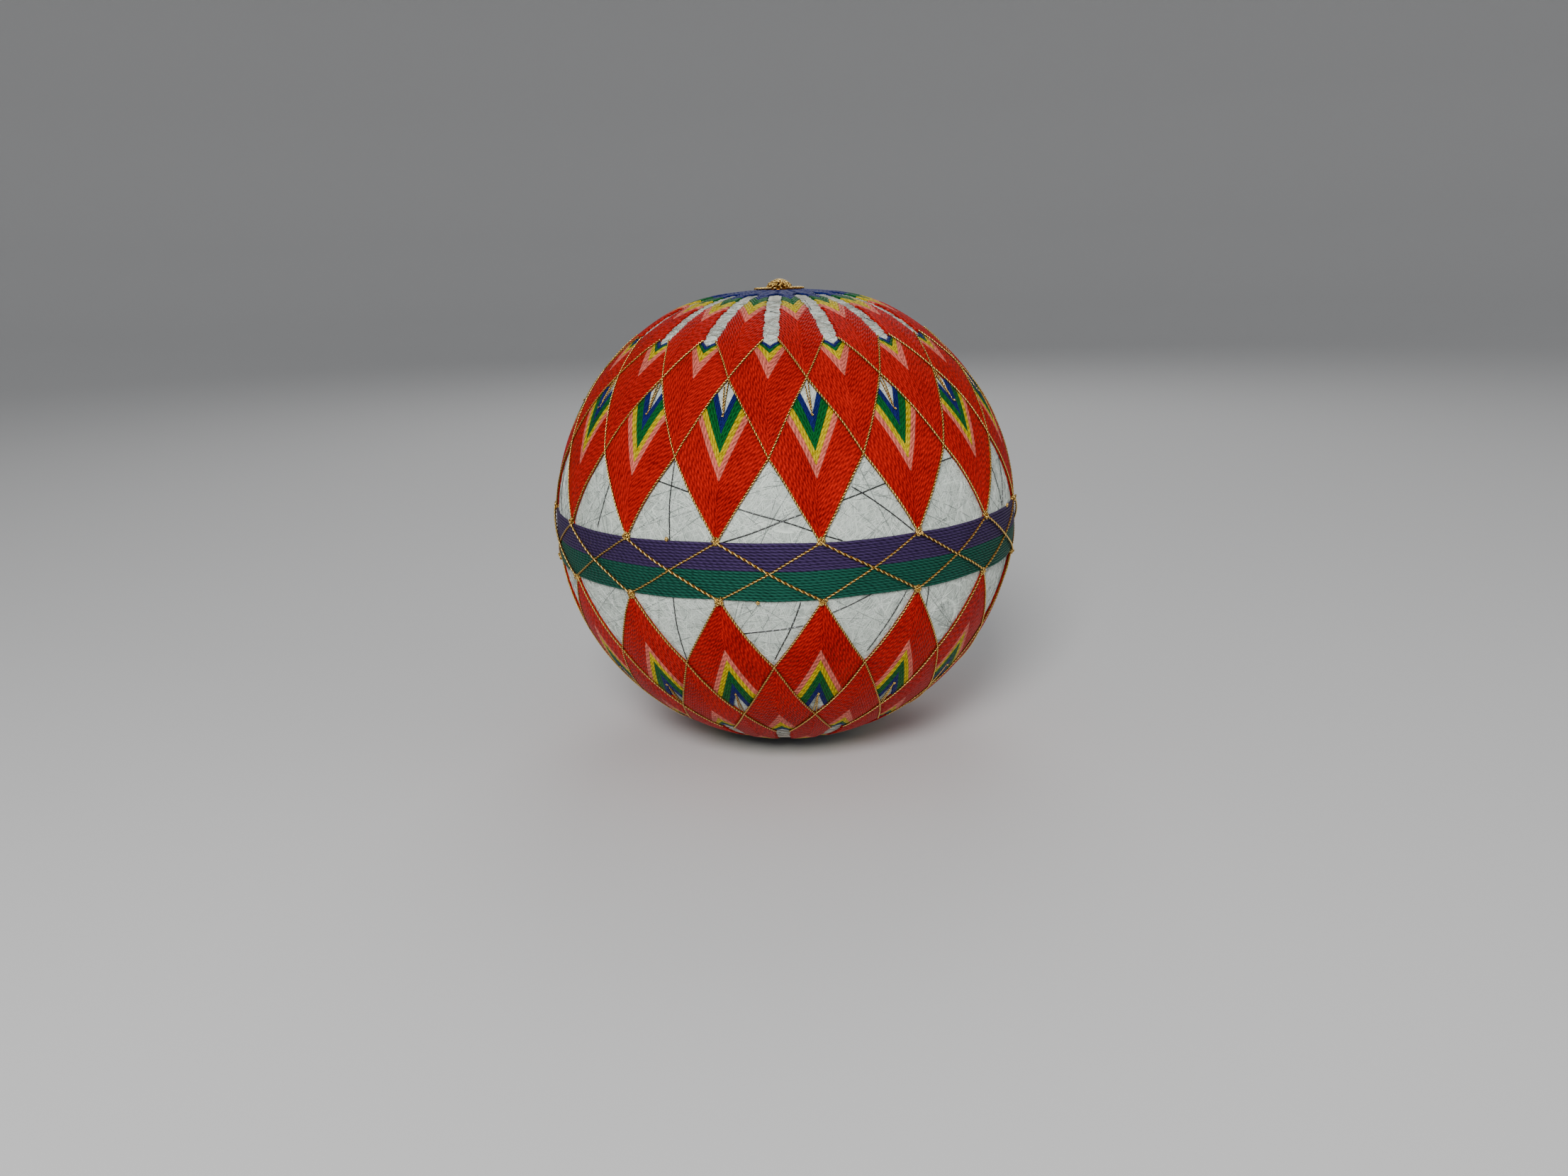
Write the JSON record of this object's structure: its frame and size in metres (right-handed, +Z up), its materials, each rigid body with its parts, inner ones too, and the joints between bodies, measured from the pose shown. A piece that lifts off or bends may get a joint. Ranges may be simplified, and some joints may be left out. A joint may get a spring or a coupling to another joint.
{
  "type": "temari ball",
  "caption": "Thread ball stitched with tiers of pointed petals on both halves, a two-colour waist band and a gold crown knot, on a small flat rest spot.",
  "frame": {"origin": "centre of the flat rest spot under the ball, on the surface it stands on", "axes": "+Z up through the poles and the crown knot; a petal's main line faces -Y"},
  "size_m": [0.15, 0.15, 0.1497],
  "materials": {
    "winding": "matte",
    "petals": "satin",
    "band_purple": "satin",
    "band_green": "satin",
    "gold_thread": "satin"
  },
  "bodies": {
    "root": {"wound_ball": "winding", "band_upper_rows": "band_purple", "band_lower_rows": "band_green", "upper_outer_petals": "petals", "upper_middle_petals": "petals", "upper_inner_petals": "petals", "lower_outer_petals": "petals", "lower_middle_petals": "petals", "lower_inner_petals": "petals", "crown_knot": "gold_thread"}
  },
  "joints": []
}
